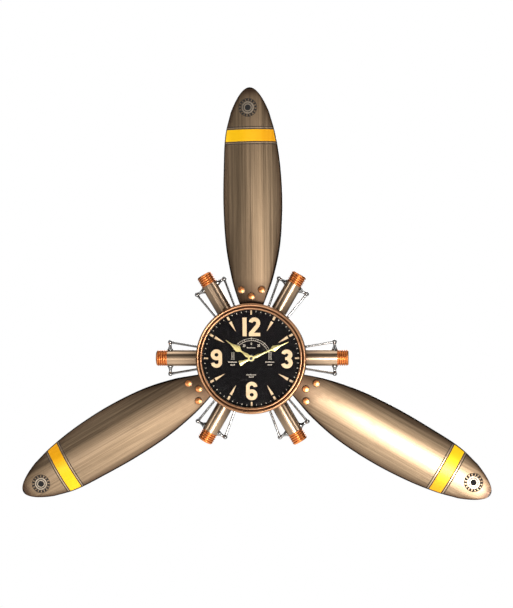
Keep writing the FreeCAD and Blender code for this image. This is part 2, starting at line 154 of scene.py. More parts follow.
class ClockFinishes(bpy.types.PropertyGroup):
    blade_bronze: bpy.props.FloatVectorProperty(
        name="Blade bronze", description="Brushed lacquered bronze of the blades",
        default=(0.315, 0.218, 0.133), subtype="COLOR", min=0, max=1)
    # a dark tone for tarnish and sprayed burnishing, also used as painted shade along the blade
    # edges and roots and on the tubes near the drum
    blade_burnish_and_shade: bpy.props.FloatVectorProperty(
        name="Burnishing and painted shade", description="Dark tone of tarnish, sprayed burnishing and painted shade along the blade edges and roots",
        default=(0.075, 0.042, 0.025), subtype="COLOR", min=0, max=1)
    band_yellow: bpy.props.FloatVectorProperty(
        name="Band yellow", description="Paint of the band near each tip",
        default=(1.0, 0.56, 0.0), subtype="COLOR", min=0, max=1)
    tube_bronze: bpy.props.FloatVectorProperty(
        name="Cylinder bronze", description="Satin bronze of the cylinder tubes",
        default=(0.48, 0.34, 0.225), subtype="COLOR", min=0, max=1)
    copper: bpy.props.FloatVectorProperty(
        name="Copper", description="Antique copper plate of the bezel",
        default=(0.40, 0.205, 0.105), subtype="COLOR", min=0, max=1)
    # a dark tone for copper tarnish, also used as painted shade in the bezel's groove, at its
    # lip and skirt, and under the bolt heads
    copper_tarnish_and_shade: bpy.props.FloatVectorProperty(
        name="Copper tarnish and shade", description="Dark tone of copper tarnish, also painted shade in the copper's grooves",
        default=(0.09, 0.030, 0.014), subtype="COLOR", min=0, max=1)
    bright_copper: bpy.props.FloatVectorProperty(
        name="Bright copper", description="Fresh orange copper of the ribbed caps",
        default=(0.78, 0.26, 0.075), subtype="COLOR", min=0, max=1)
    bolt_copper: bpy.props.FloatVectorProperty(
        name="Bolt copper", description="Orange copper of the blade bolts",
        default=(0.62, 0.235, 0.085), subtype="COLOR", min=0, max=1)
    chrome: bpy.props.FloatVectorProperty(
        name="Chrome", description="Bright plate of the posts and pushrods",
        default=(0.30, 0.292, 0.285), subtype="COLOR", min=0, max=1)
    dial_black: bpy.props.FloatVectorProperty(
        name="Dial black", description="Ground colour of the dial",
        default=(0.0024, 0.0018, 0.0022), subtype="COLOR", min=0, max=1)
    print_cream: bpy.props.FloatVectorProperty(
        name="Print cream", description="Ink of the numbers and hour marks",
        default=(0.50, 0.335, 0.18), subtype="COLOR", min=0, max=1)
    hand_gold: bpy.props.FloatVectorProperty(
        name="Hand gold", description="Pale gold of the hands",
        default=(0.55, 0.45, 0.19), subtype="COLOR", min=0, max=1)
    case_black: bpy.props.FloatVectorProperty(
        name="Case black", description="Satin paint of the drum and back plate",
        default=(0.035, 0.030, 0.027), subtype="COLOR", min=0, max=1)


class ClockStage(bpy.types.PropertyGroup):
    floor_tone: bpy.props.FloatVectorProperty(
        name="Floor tone", description="Colour of the studio floor",
        default=(0.72, 0.72, 0.71), subtype="COLOR", min=0, max=1)
    camera_distance: bpy.props.FloatProperty(
        name="Camera distance", description="Distance of the camera from the wall plane",
        default=1.6, unit="LENGTH")
    room_light: bpy.props.FloatProperty(
        name="Room light", description="Brightness of the surrounding light",
        default=0.07)
    soft_light: bpy.props.FloatProperty(
        name="Soft light", description="Overall power of the softboxes",
        default=1.0)


def sizes():
    return bpy.context.scene.clock_sizes


def finishes():
    return bpy.context.scene.clock_finishes


# ---- shaping helpers

class Workpiece:
    """A mesh in the making, in face millimetres.  Each shape is made about its own
    origin, keeps that place in the attribute local_place, and is then moved to where it
    belongs.  The attribute rim says how much a finish darkens there, from 0 to 1."""

    def __init__(self):
        self.bm = bmesh.new()
        self.place = self.bm.verts.layers.float_vector.new("local_place")
        # rim carries painted shade on most pieces: their finishes darken where it is high
        self.rim = self.bm.verts.layers.float.new("rim")
        self.done = self.bm.verts.layers.int.new("settled")

    def fresh_verts(self):
        return [v for v in self.bm.verts if not v[self.done]]

    def fresh_faces(self):
        return [f for f in self.bm.faces if not all(v[self.done] for v in f.verts)]

    def fresh_edges(self):
        return [e for e in self.bm.edges if not e.verts[0][self.done]]

    def outward(self):
        """Turns the fresh faces to point outwards."""
        bmesh.ops.recalc_face_normals(self.bm, faces=self.fresh_faces())

    def soften(self, width, segments=2, corner=60):
        """Rounds the fresh edges that are sharper than the given corner."""
        edges = [e for e in self.fresh_edges() if len(e.link_faces) == 2
                 and e.calc_face_angle(0) > math.radians(corner)]
        if edges:
            bmesh.ops.bevel(self.bm, geom=edges, offset=width, offset_type="OFFSET",
                            segments=segments, profile=0.5, affect="EDGES",
                            clamp_overlap=True, material=-1)

    def lathe(self, profile, steps, closed=False):
        """Spins (radius, height) points about the z axis."""
        verts = [self.bm.verts.new((r, 0, z)) for r, z in profile]
        pairs = list(zip(verts, verts[1:])) + ([(verts[-1], verts[0])] if closed else [])
        edges = [self.bm.edges.new(pair) for pair in pairs]
        bmesh.ops.spin(self.bm, geom=verts + edges, cent=(0, 0, 0), axis=(0, 0, 1),
                       angle=2 * math.pi, steps=steps, use_merge=True)
        bmesh.ops.remove_doubles(self.bm, verts=self.fresh_verts(), dist=1e-4)
        self.outward()

    def turned(self, profile, steps, seat=Matrix(), edge=0, closed=False, rim=None):
        """Spins a profile, rounds its edges by the given width and seats it."""
        self.lathe(profile, steps, closed)
        if edge:
            self.soften(edge)
        self.settle(seat, rim=rim)

    def raise_face(self, face, height):
        """Extrudes a flat face upwards into a closed block."""
        grown = bmesh.ops.extrude_face_region(self.bm, geom=[face])["geom"]
        top = [g for g in grown if isinstance(g, bmesh.types.BMVert)]
        bmesh.ops.translate(self.bm, verts=top, vec=(0, 0, height))
        self.outward()

    def prism(self, points, low, high):
        """Extrudes an outline of (x, y) points from one height to another."""
        verts = [self.bm.verts.new((x, y, low)) for x, y in points]
        self.raise_face(self.bm.faces.new(verts), high - low)

    def hexagon(self, across, low, high, edge, seat):
        """Seats a nut of the given width across its flats, with rounded edges."""
        made = bmesh.ops.create_circle(self.bm, cap_ends=True, segments=6,
                                       radius=across / math.sqrt(3))["verts"]
        bmesh.ops.translate(self.bm, verts=made, vec=(0, 0, low))
        self.raise_face(made[0].link_faces[0], high - low)
        self.soften(edge, corner=40)
        self.settle(seat)

    def settle(self, matrix=Matrix(), finish=0, rim=None):
        """Records each fresh point's own place, gives its faces their finish and moves it."""
        verts = self.fresh_verts()
        for face in self.fresh_faces():
            face.material_index = finish
            face.smooth = True
        for vert in verts:
            vert[self.place] = vert.co * MM
            if rim is not None:
                vert[self.rim] = rim(vert.co)
            vert.co = matrix @ vert.co
            vert[self.done] = 1

    def finish(self, name, materials, body, slot, *nodes, crease=35, even=True):
        """Makes the object, hangs it on its body and stands it in for the named nodes."""
        bmesh.ops.transform(self.bm, matrix=UPRIGHT, verts=self.bm.verts)
        self.bm.verts.layers.int.remove(self.done)
        mesh = bpy.data.meshes.new(name)
        self.bm.to_mesh(mesh)
        self.bm.free()
        mesh.set_sharp_from_angle(angle=math.radians(crease))
        for material in materials:
            mesh.materials.append(material)
        piece = bpy.data.objects.new(name, mesh)
        bpy.context.scene.collection.objects.link(piece)
        if even:
            flats = piece.modifiers.new("even_flats", "WEIGHTED_NORMAL")
            flats.keep_sharp = True
            flats.weight = 80
        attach(piece, body)
        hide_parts(*nodes)


def turn(degrees, axis="Z"):
    return Matrix.Rotation(math.radians(degrees), 4, axis)


def shift(x, y, z):
    return Matrix.Translation((x, y, z))


def along(start, direction):
    """Carries the z axis to a direction from a start point."""
    lean = Vector(direction).to_track_quat("Z", "Y")
    return Matrix.Translation(start) @ lean.to_matrix().to_4x4()


def radial(angle, depth=CYLINDER_DEPTH):
    """Carries the z axis to a spoke of the dial at the given angle and depth."""
    return turn(angle) @ shift(0, 0, depth) @ turn(90, "Y")


def arc(cx, cz, radius_x, radius_z, first, last, steps):
    angles = [math.radians(first + (last - first) * i / steps) for i in range(steps + 1)]
    return [(cx + radius_x * math.cos(a), cz + radius_z * math.sin(a)) for a in angles]


# ---- shader helpers

def is_link(value):
    return isinstance(value, bpy.types.NodeSocket)


def wire(made, inputs):
    """Links another node's output into each named input, or sets a plain value on it."""
    for name, value in inputs.items():
        if is_link(value):
            made.id_data.links.new(value, made.inputs[name])
        else:
            made.inputs[name].default_value = value


def node(tree, kind, inputs=None, **settings):
    made = tree.nodes.new("ShaderNode" + kind)
    for name, value in settings.items():
        setattr(made, name, value)
    wire(made, inputs or {})
    return made


def math_node(tree, operation, *values, clamp=False):
    return node(tree, "Math", dict(enumerate(values)), operation=operation,
                use_clamp=clamp).outputs[0]


def times(tree, first, second):
    return math_node(tree, "MULTIPLY", first, second)


def less(tree, first, second):
    return math_node(tree, "SUBTRACT", first, second)


def most(tree, first, second):
    return math_node(tree, "MAXIMUM", first, second)


def mix_colour(tree, share, first, second):
    first, second = (value if is_link(value) else (*value[:3], 1)
                     for value in (first, second))
    return node(tree, "Mix", {0: share, 6: first, 7: second}, data_type="RGBA").outputs[2]


def ramp(tree, value, low, high, out_low=0.0, out_high=1.0, smooth=True):
    return node(tree, "MapRange",
                {"Value": value, "From Min": low, "From Max": high,
                 "To Min": out_low, "To Max": out_high},
                interpolation_type="SMOOTHSTEP" if smooth else "LINEAR").outputs[0]


def bump(tree, height, strength, depth):
    return node(tree, "Bump", {"Height": height, "Strength": strength,
                               "Distance": depth}).outputs["Normal"]


def attribute(tree, name, output="Fac"):
    return node(tree, "Attribute", attribute_name=name).outputs[output]


def place_of(tree, own=True):
    """A piece's own place for patterns, or the object's coordinates on a carried-over node."""
    if own:
        return attribute(tree, "local_place", "Vector")
    return node(tree, "TexCoord").outputs["Object"]


def new_group(name, inputs, outputs):
    group = bpy.data.node_groups.new(name, "ShaderNodeTree")
    for label, kind, default in inputs:
        socket = group.interface.new_socket(label, in_out="INPUT", socket_type=kind)
        if default is not None:
            socket.default_value = default
    for label in outputs:
        group.interface.new_socket(label, in_out="OUTPUT", socket_type="NodeSocketFloat")
    return group, group.nodes.new("NodeGroupInput"), group.nodes.new("NodeGroupOutput")


def noise(tree, place, scale, detail, roughness=0.5, distortion=0.0):
    return node(tree, "TexNoise",
                {"Vector": place, "Scale": scale, "Detail": detail, "Roughness": roughness,
                 "Distortion": distortion}).outputs["Fac"]


def brushing_group():
    name = "brush_lines"
    if name in bpy.data.node_groups:
        return bpy.data.node_groups[name]
    group, given, result = new_group(
        name,
        [("Place", "NodeSocketVector", None), ("Stretch", "NodeSocketVector", (40, 1500, 1500)),
         ("Wander", "NodeSocketFloat", 0.5)], ["Height", "Tone"])
    drawn = node(group, "VectorMath",
                 {0: given.outputs["Place"], 1: given.outputs["Stretch"]},
                 operation="MULTIPLY").outputs[0]
    wide = node(group, "VectorMath", {0: drawn, 1: (0.2, 0.22, 0.22)},
                operation="MULTIPLY").outputs[0]
    fine = noise(group, drawn, 1.0, 3.0, 0.65)
    broad = noise(group, wide, 1.0, 2.0)
    blend = node(group, "Mix", {0: given.outputs["Wander"], 2: fine, 3: broad})
    wire(result, {"Height": fine, "Tone": ramp(group, blend.outputs[0], 0.32, 0.68)})
    return group


def tarnish_group():
    name = "tarnish_clouds"
    if name in bpy.data.node_groups:
        return bpy.data.node_groups[name]
    group, given, result = new_group(
        name, [("Place", "NodeSocketVector", None), ("Size", "NodeSocketFloat", 60.0),
               ("Cover", "NodeSocketFloat", 0.5)], ["Mask"])
    cloud = noise(group, given.outputs["Place"], given.outputs["Size"], 5.0, 0.6, 0.4)
    low = less(group, 0.78, times(group, given.outputs["Cover"], 0.4))
    high = math_node(group, "ADD", low, 0.22)
    wire(result, {"Mask": ramp(group, cloud, low, high)})
    return group


def specks_group():
    name = "fine_specks"
    if name in bpy.data.node_groups:
        return bpy.data.node_groups[name]
    group, given, result = new_group(
        name, [("Place", "NodeSocketVector", None), ("Size", "NodeSocketFloat", 900.0)],
        ["Mask", "Height"])
    place, size = given.outputs["Place"], given.outputs["Size"]
    cells = node(group, "TexVoronoi", {"Vector": place, "Scale": size})
    wire(result, {"Mask": ramp(group, cells.outputs["Distance"], 0.16, 0.05),
                  "Height": noise(group, place, size, 2.0)})
    return group


def brushing(tree, place, stretch, wander):
    """Fine brush lines: a height and a tone drawn out along the pattern's first axis."""
    return node(tree, "Group", {"Place": place, "Stretch": stretch, "Wander": wander},
                node_tree=brushing_group()).outputs


def tarnish(tree, place, size, cover):
    """Cloudy patches left by handling and age, as a mask."""
    return node(tree, "Group", {"Place": place, "Size": size, "Cover": cover},
                node_tree=tarnish_group()).outputs["Mask"]


def specks(tree, place, size):
    """Small scattered specks of dust or casting texture: a mask and a height."""
    return node(tree, "Group", {"Place": place, "Size": size},
                node_tree=specks_group()).outputs


def band_line(tree, value, middle, half):
    """A thin line where the value is within half of the middle."""
    away = math_node(tree, "ABSOLUTE", less(tree, value, middle))
    return ramp(tree, away, half, half * 0.7, smooth=False)


# ---- finishes

def new_material(name):
    material = bpy.data.materials.new(name)
    material.use_nodes = True
    tree = material.node_tree
    return material, tree, tree.nodes["Principled BSDF"]


def metal(name, colour, dark, rough=(0.25, 0.42), stretch=(30, 900, 900), cover=0.4,
          cloud=45.0, own=True, tone=0.35, brush=0.25, groove=False):
    """Plated or lacquered metal with brush lines, tarnish clouds and painted shade in its
    hollows.
    """
    if name in bpy.data.materials:
        return bpy.data.materials[name]
    material, tree, surface = new_material(name)
    place = place_of(tree, own)
    lines = brushing(tree, place, stretch, 0.5)
    clouds = tarnish(tree, place, cloud, cover)
    paler = tuple(min(1.0, c * (1 + tone)) for c in colour)
    deeper = tuple(c * (1 - tone) for c in colour)
    shade = mix_colour(tree, lines["Tone"], deeper, paler)
    shade = mix_colour(tree, times(tree, clouds, 0.55), shade, dark)
    # painted shade: darker where the rim attribute is high
    if groove:
        shade = mix_colour(tree, times(tree, attribute(tree, "rim"), 0.85), shade, dark)
    wear = math_node(tree, "MULTIPLY_ADD", lines["Tone"], 0.35, times(tree, clouds, 0.65),
                     clamp=True)
    wire(surface, {"Base Color": shade, "Metallic": 1.0,
                   "Roughness": ramp(tree, wear, 0, 1, *rough, smooth=False),
                   "Normal": bump(tree, lines["Height"], brush, 0.00005)})
    return material


def paint(name, colour, rough=(0.35, 0.55), own=True, size=500.0, strength=0.2, patch=40.0,
          patch_and_reflection_tone=None, dust=0.12):
    """Paint, rubber or moulded plastic with a fine grain and faint patchiness; on the dial
    print the patch tone is a painted reflection.
    """
    if name in bpy.data.materials:
        return bpy.data.materials[name]
    material, tree, surface = new_material(name)
    place = place_of(tree, own)
    grain = specks(tree, place, size)
    clouds = tarnish(tree, place, patch, 0.6)
    other = patch_and_reflection_tone or tuple(min(1.0, c * 1.35 + 0.004) for c in colour)
    dusty = tuple(min(1.0, c * 0.7 + 0.12) for c in colour)
    shade = mix_colour(tree, clouds, colour, other)
    shade = mix_colour(tree, times(tree, grain["Mask"], dust), shade, dusty)
    wire(surface, {"Base Color": shade,
                   "Roughness": ramp(tree, clouds, 0, 1, *rough, smooth=False),
                   "Normal": bump(tree, grain["Height"], strength, 0.0001)})
    return material


def copper(name, colour, dark=None, rough=(0.26, 0.42), grain=60, cover=0.45):
    """Copper plate with an even grain, and painted shade in its hollows."""
    return metal(name, colour, dark or finishes().copper_tarnish_and_shade, rough=rough,
                 stretch=(grain,) * 3, cover=cover, cloud=70.0, tone=0.14, brush=0.05,
                 groove=True)


def chrome():
    return metal("polished_chrome", finishes().chrome, (0.25, 0.24, 0.23), rough=(0.08, 0.22),
                 stretch=(60, 60, 900), cover=0.3, cloud=120.0, tone=0.06, brush=0.05)


def plain_steel(own=True):
    return metal("plain_steel" if own else "plain_steel_node", (0.42, 0.41, 0.40),
                 (0.14, 0.12, 0.10), rough=(0.3, 0.5), stretch=(300, 300, 300), cover=0.5,
                 cloud=60.0, own=own, tone=0.15)


def gold_finish():
    return metal("pale_gold", finishes().hand_gold, (0.32, 0.22, 0.07), rough=(0.3, 0.42),
                 stretch=(300, 60, 300), cover=0.25, cloud=150.0, tone=0.12, brush=0.1)


def dial_finish():
    """Black dial lacquer, a little uneven under the glass."""
    material = paint("dial_lacquer", finishes().dial_black, rough=(0.5, 0.62), size=1500.0,
                     strength=0.06, patch=18.0, patch_and_reflection_tone=(0.006, 0.004, 0.005), dust=0.02)
    wire(material.node_tree.nodes["Principled BSDF"], {"Specular IOR Level": 0.03})
    return material


def print_finish():
    # the orange patches of the print are a painted reflection of warm light in the glass
    return paint("dial_print", finishes().print_cream, rough=(0.5, 0.6), size=2500.0,
                 strength=0.1, patch=35.0, patch_and_reflection_tone=(0.49, 0.27, 0.13))


def small_print_finish():
    return paint("dial_small_print", (0.55, 0.47, 0.38), rough=(0.5, 0.6), size=2500.0,
                 strength=0.1, patch=60.0)


def glass_finish():
    """Clear low-glare glass that lets lamp light through to the dial."""
    material, tree, surface = new_material("clear_glass")
    smear = tarnish(tree, place_of(tree), 22.0, 0.5)
    wire(surface, {"Base Color": (0.97, 0.985, 0.98, 1), "IOR": 1.2,
                   "Transmission Weight": 1.0,
                   "Roughness": ramp(tree, smear, 0, 1, 0.0, 0.008, smooth=False)})
    clear = node(tree, "BsdfTransparent")
    path = node(tree, "LightPath")
    blend = node(tree, "MixShader", {0: path.outputs["Is Shadow Ray"],
                                     1: surface.outputs[0], 2: clear.outputs[0]})
    wire(tree.nodes["Material Output"], {"Surface": blend.outputs[0]})
    return material


def badge_masks(tree, station, across):
    """The round badge as two masks: its pale disc, and its print of a ring of short
    ticks around a plain dot."""
    size = sizes()
    from_middle = node(tree, "CombineXYZ", {
        0: less(tree, station, size.badge_centre), 1: less(tree, across, 0.0040)}).outputs[0]
    reach = node(tree, "VectorMath", {0: from_middle}, operation="LENGTH")
    parts = node(tree, "SeparateXYZ", {0: from_middle})
    bearing = math_node(tree, "ARCTAN2", parts.outputs["Y"], parts.outputs["X"])
    wave = math_node(tree, "SINE", times(tree, bearing, 16.0))
    tick = math_node(tree, "GREATER_THAN", wave, -0.45)
    share = math_node(tree, "DIVIDE", reach.outputs["Value"], size.badge_radius)
    disc = ramp(tree, share, 0.70, 0.67, smooth=False)
    rings = most(tree, band_line(tree, share, 0.97, 0.035), band_line(tree, share, 0.69, 0.04))
    ticks = times(tree, band_line(tree, share, 0.835, 0.12), tick)
    middle = most(tree, ramp(tree, share, 0.33, 0.31, smooth=False),
                  band_line(tree, share, 0.47, 0.05))
    return disc, most(tree, rings, most(tree, ticks, middle))


def blade_finish():
    """Lengthwise brushed bronze, darker along the edges and towards the root by sprayed
    burnishing and painted shade, with a painted band between pinstripes and a plain ringed
    badge."""
    name = "brushed_blade_bronze"
    if name in bpy.data.materials:
        return bpy.data.materials[name]
    tones, size = finishes(), sizes()
    material, tree, surface = new_material(name)
    place = place_of(tree)
    split = node(tree, "SeparateXYZ", {0: place})
    station, across = split.outputs["X"], split.outputs["Y"]
    rim = attribute(tree, "rim")
    front = ramp(tree, rim, -0.5, -0.4)
    lines = brushing(tree, place, (7, 1100, 60), 0.3)
    clouds = tarnish(tree, place, 14.0, 0.5)

    pale = tuple(min(1.0, c * 1.24 + 0.012) for c in tones.blade_bronze)
    deep = tuple(c * 0.74 for c in tones.blade_bronze)
    shade = mix_colour(tree, lines["Tone"], deep, pale)
    shade = mix_colour(tree, times(tree, clouds, 0.28), shade, tones.blade_burnish_and_shade)
    # dark tone, partly sprayed burnishing and partly painted shade: strongest on the rolled
    # edge, then fading inwards, over the root beside the bezel, and a little towards the tip
    edge = math_node(tree, "POWER", ramp(tree, rim, 0.62, 1.0), 1.5)
    root = math_node(tree, "MULTIPLY_ADD", ramp(tree, station, 0.128, 0.090), 0.55,
                     ramp(tree, station, 0.24, 0.09, 0.0, 0.45))
    tip = ramp(tree, station, 0.36, 0.43, 0.0, 0.35)
    burnish_and_shade = most(tree, times(tree, edge, 0.9), times(tree, root, 0.95))
    burnish_and_shade = math_node(tree, "ADD", burnish_and_shade, tip, clamp=True)
    shade = mix_colour(tree, burnish_and_shade, shade, tones.blade_burnish_and_shade)

    # the band, with a dark, a pale and a dark stripe along each side
    off = math_node(tree, "ABSOLUTE", less(tree, station, size.band_centre))
    half = size.band_width / 2
    amber = tuple(c * f for c, f in zip(tones.band_yellow, (0.85, 0.66, 1.0)))
    yellow = mix_colour(tree, ramp(tree, across, -0.04, 0.03), amber, tones.band_yellow)
    painted = times(tree, front, ramp(tree, off, half, half - 0.0003, smooth=False))
    dark_line = times(tree, front, most(tree, band_line(tree, off, half + 0.0006, 0.0011),
                                        band_line(tree, off, half + 0.0042, 0.0009)))
    pale_line = times(tree, front, band_line(tree, off, half + 0.0024, 0.0007))
    shade = mix_colour(tree, times(tree, pale_line, 0.5), shade, (0.62, 0.48, 0.34))
    shade = mix_colour(tree, times(tree, dark_line, 0.92), shade, (0.009, 0.004, 0.002))
    shade = mix_colour(tree, painted, shade, yellow)
    # painted shade: the turned-back edge of the sheet is coloured almost black
    outline = times(tree, ramp(tree, rim, 0.945, 0.97), 0.97)
    shade = mix_colour(tree, outline, shade, (0.003, 0.0014, 0.0009))

    disc, printed = badge_masks(tree, station, across)
    shade = mix_colour(tree, times(tree, times(tree, disc, front), 0.4), shade,
                       (0.62, 0.56, 0.47))
    printed = times(tree, front, printed)
    worn = less(tree, 1.0, times(tree, clouds, 0.12))
    shade = mix_colour(tree, times(tree, printed, worn), shade, (0.005, 0.004, 0.004))

    # print and stripes are matt and bare of lacquer; the band is half as metallic
    matt = most(tree, printed, dark_line)
    coated = most(tree, times(tree, painted, 0.55), matt)
    rough = math_node(tree, "MULTIPLY_ADD", lines["Tone"], 0.12, 0.30)
    rough = math_node(tree, "MULTIPLY_ADD", clouds, 0.08, rough)
    rough = math_node(tree, "MULTIPLY_ADD", matt, 0.5, rough, clamp=True)
    grain = times(tree, lines["Height"], less(tree, 1.0, coated))
    wire(surface, {"Base Color": shade, "Roughness": rough, "Coat Roughness": 0.18,
                   "Metallic": less(tree, 1.0, times(tree, coated, 0.95)),
                   "Normal": bump(tree, grain, 0.35, 0.00006),
                   "Coat Weight": times(tree, less(tree, 1.0, matt), 0.12)})
    return material


# ---- blades

def edge_at(points, station, tip):
    """Where an edge lies across a blade at a station, by a smooth curve through its
    points and a rounded end past the last one."""
    last_station, last_width = points[-1]
    if station >= last_station:
        gone = min(1.0, (station - last_station) / (tip - last_station))
        return 1 + (last_width - 1) * (1 - gone) ** 0.52
    index = max(i for i in range(len(points) - 1) if points[i][0] <= station)
    before, start, end, after = (points[max(0, min(len(points) - 1, index + k))]
                                 for k in (-1, 0, 1, 2))
    span = end[0] - start[0]
    t = (station - start[0]) / span
    slope_a = (end[1] - before[1]) / (end[0] - before[0]) * span
    slope_b = (after[1] - start[1]) / (after[0] - start[0]) * span
    return ((2 * t ** 3 - 3 * t ** 2 + 1) * start[1] + (t ** 3 - 2 * t ** 2 + t) * slope_a
            + (3 * t ** 2 - 2 * t ** 3) * end[1] + (t ** 3 - t ** 2) * slope_b)


def blade_span(station, tip):
    """Middle and half width of a blade at a station."""
    left, right = edge_at(LEFT_EDGE, station, tip), edge_at(RIGHT_EDGE, station, tip)
    return (left + right) / 2, (left - right) / 2


def blade_height(across, camber):
    return BLADE_SKIN - camber + math.sqrt(camber ** 2 - across * across)


def shape_blade(work, tip, camber):
    """A pressed sheet blade along x: a grid drawn to the outline and camber, with its
    edges turned back and rounded."""
    made = bmesh.ops.create_grid(work.bm, x_segments=110, y_segments=26, size=1)["verts"]
    for vert in made:
        share = 1 - (1 - (vert.co.x + 1) / 2) ** 1.5
        guess = BLADE_START + (tip - BLADE_START) * share
        middle, half = blade_span(guess, tip)
        v = middle + vert.co.y * half
        root = math.sqrt(max(0.0, BLADE_ROOT ** 2 - v * v))
        vert.co = (guess + (root - BLADE_START) * (1 - share) ** 3, v,
                   blade_height(v, camber))
    bmesh.ops.remove_doubles(work.bm, verts=work.fresh_verts(), dist=1e-3)
    work.outward()
    rim = [e for e in work.fresh_edges() if len(e.link_faces) == 1
           and not all(abs(v.co.xy.length - BLADE_ROOT) < 0.3 for v in e.verts)]
    skirt = bmesh.ops.extrude_edge_only(work.bm, edges=rim)["geom"]
    lowered = [g for g in skirt if isinstance(g, bmesh.types.BMVert)]
    bmesh.ops.translate(work.bm, verts=lowered, vec=(0, 0, -EDGE_DEPTH))
    work.soften(1.7, segments=4, corner=35)
    work.outward()
    faces = work.fresh_faces()
    crown = Vector((240, 0, BLADE_SKIN))
    middle = min(faces, key=lambda f: (f.calc_center_median() - crown).length)
    if middle.normal.z < 0:
        bmesh.ops.reverse_faces(work.bm, faces=faces)
    bmesh.ops.solidify(work.bm, geom=faces, thickness=SHEET)


class CLOCK_OT_blades(bpy.types.Operator):
    """Makes the three brushed bronze blades with their painted bands"""
    bl_idname = "clock.blades"
    bl_label = "Propeller blades"

    def execute(self, context):
        tip, camber = sizes().blade_tip / MM, sizes().blade_camber / MM
        nose_start = 330

        def rim(place):
            """How near the edge a point is, from 0 to 1, or -1 on the bare back.  The edge
            darkening it drives is partly sprayed burnishing and partly painted shade.
            """
            middle, half = blade_span(min(place.x, tip), tip)
            side = abs(place.y - middle) / max(0.5, half)
            below = blade_height(place.y, camber) - place.z
            if below > SHEET / 2 and side < 0.94 and place.x < tip - 3:
                return -1.0
            nose = max(0.0, place.x - nose_start) / (tip - nose_start)
            return max(min(1.0, side), min(1.0, nose) ** 1.7)

        for name, angle in BLADES.items():
            work = Workpiece()
            shape_blade(work, tip, camber)
            work.settle(turn(angle), rim=rim)
            for u, v in BOLT_PLACES:
                # a flat boss under each bolt head
                work.lathe([(0, 23.2), (6.2, 23.2), (6.2, BLADE_SKIN + 0.02),
                            (0, BLADE_SKIN + 0.02)], 40)
                work.soften(0.35)
                bmesh.ops.translate(work.bm, verts=work.fresh_verts(), vec=(u, v, 0))
                work.settle(turn(angle), rim=lambda place: 0.2)
            work.finish("pressed_blade_" + name, [blade_finish()], CASE, "blade_bronze",
                        "blade_" + name, crease=40, even=False)
        return {"FINISHED"}


class CLOCK_OT_blade_fixings(bpy.types.Operator):
    """Makes the copper bolts with their spacers, washers and nuts, and the rivets"""
    bl_idname = "clock.blade_fixings"
    bl_label = "Blade fixings"

    def execute(self, context):
        bolts, spacers, washers, nuts = Workpiece(), Workpiece(), Workpiece(), Workpiece()
        shank, bore = 2.5, 2.6
        nut_low, washer_low, washer_high, spacer_low, spacer_high = 11.2, 15.2, 16, 18, 23
        head = [(0, 26.95), (4.9, 26.95), (5.0, 27.1), (5.0, 29.1)]
        head += arc(4.1, 29.1, 0.9, 0.8, 10, 78, 5) + [(3.0, 30.05), (1.6, 30.2), (0, 30.25)]
        stem = [(0, BLADE_SKIN), (shank, BLADE_SKIN), (shank, nut_low + 0.4),
                (shank - 0.4, nut_low), (0, nut_low)]
        for angle in BLADES.values():
            for u, v in BOLT_PLACES:
                seat = turn(angle) @ shift(u, v, 0)
                # painted shade: the foot of each head where it meets the blade, and the shank
                # behind the blade, are darkened
                bolts.turned(head, 40, seat, rim=lambda place: 0.9 if place.z < 27.3 else 0.0)
                bolts.turned(stem, 24, seat, rim=lambda place: 0.5)
                spacers.turned([(bore, spacer_low), (6, spacer_low), (6, spacer_high),
                                (bore, spacer_high)], 32, seat, edge=0.3, closed=True)
                washers.turned([(bore, washer_low), (5.2, washer_low), (5.2, washer_high),
                                (bore, washer_high)], 32, seat, edge=0.15, closed=True)
                nuts.hexagon(8.0, nut_low, washer_low, 0.45, seat)
        bolts.finish("copper_blade_bolts", [copper("bolt_copper", finishes().bolt_copper)],
                     CASE, "copper_plate", "blade_bolts")
        for work, name, old in ((spacers, "turned_spacers", "blade_spacers"),
                                (washers, "flat_washers", "blade_washers"),
                                (nuts, "hex_nuts", "blade_nuts")):
            work.finish(name, [plain_steel()], CASE, "bracket_steel", old)

        rivets = Workpiece()
        dome = [(0, 0), (3.0, 0)] + arc(0, 0.15, 3.0, 1.4, 5, 90, 6)
        for angle in BLADES.values():
            for lean in (8.6, -8.6):
                spoke = radial(angle + lean, 10.5)
                rivets.turned(dome, 24, spoke @ shift(0, 0, 81.95))
                rivets.turned(dome, 24, spoke @ shift(0, 0, 78.75) @ turn(180, "X"))
        rivets.finish("domed_bracket_rivets", [plain_steel()], CASE, "zinc_fixing",
                      "bracket_rivets")
        return {"FINISHED"}


# ---- case and bezel

class CLOCK_OT_case(bpy.types.Operator):
    """Makes the drum wall, the feet and the hanger rivets"""
    bl_idname = "clock.case"
    bl_label = "Case"

    def execute(self, context):
        wall = Workpiece()
        wall.turned([(DRUM_INNER, BACK_PLATE), (DRUM_OUTER, BACK_PLATE), (DRUM_OUTER, 40),
                     (DRUM_INNER, 40)], 128, edge=0.4, closed=True)
        black = paint("case_paint", finishes().case_black, rough=(0.38, 0.55), size=900.0)
        wall.finish("rolled_drum", [black], CASE, "case_wall", "case_wall")

        feet = Workpiece()
        for angle in (45, 135, 225, 315):
            feet.lathe([(0, BACK_PLATE), (6, BACK_PLATE), (6, 0.5), (5.5, 0), (3.0, 0),
                        (2.6, 0.5), (0, 0.5)], 40)
            feet.soften(0.18, corner=35)
            feet.settle(turn(angle) @ shift(67, 0, 0))
        rubber = paint("moulded_foot_rubber", (0.02, 0.02, 0.02), rough=(0.7, 0.85),
                       strength=0.5)
        feet.finish("rubber_feet", [rubber], CASE, "foot_rubber", "case_feet")

        rivets = Workpiece()
        for x in (-14, 14):
            seat = shift(x, 57, 0)
            rivets.turned([(0, 5.1), (2.8, 5.1)] + arc(0, 5.3, 2.8, 1.1, 5, 90, 6), 24, seat)
            rivets.turned([(0, 2.6), (2.6, 2.6), (2.6, 2.3), (1.8, 1.75), (0, 1.7)], 24, seat)
        rivets.finish("hanger_rivet_heads", [plain_steel()], CASE, "zinc_fixing",
                      "hanger_rivets")
        return {"FINISHED"}


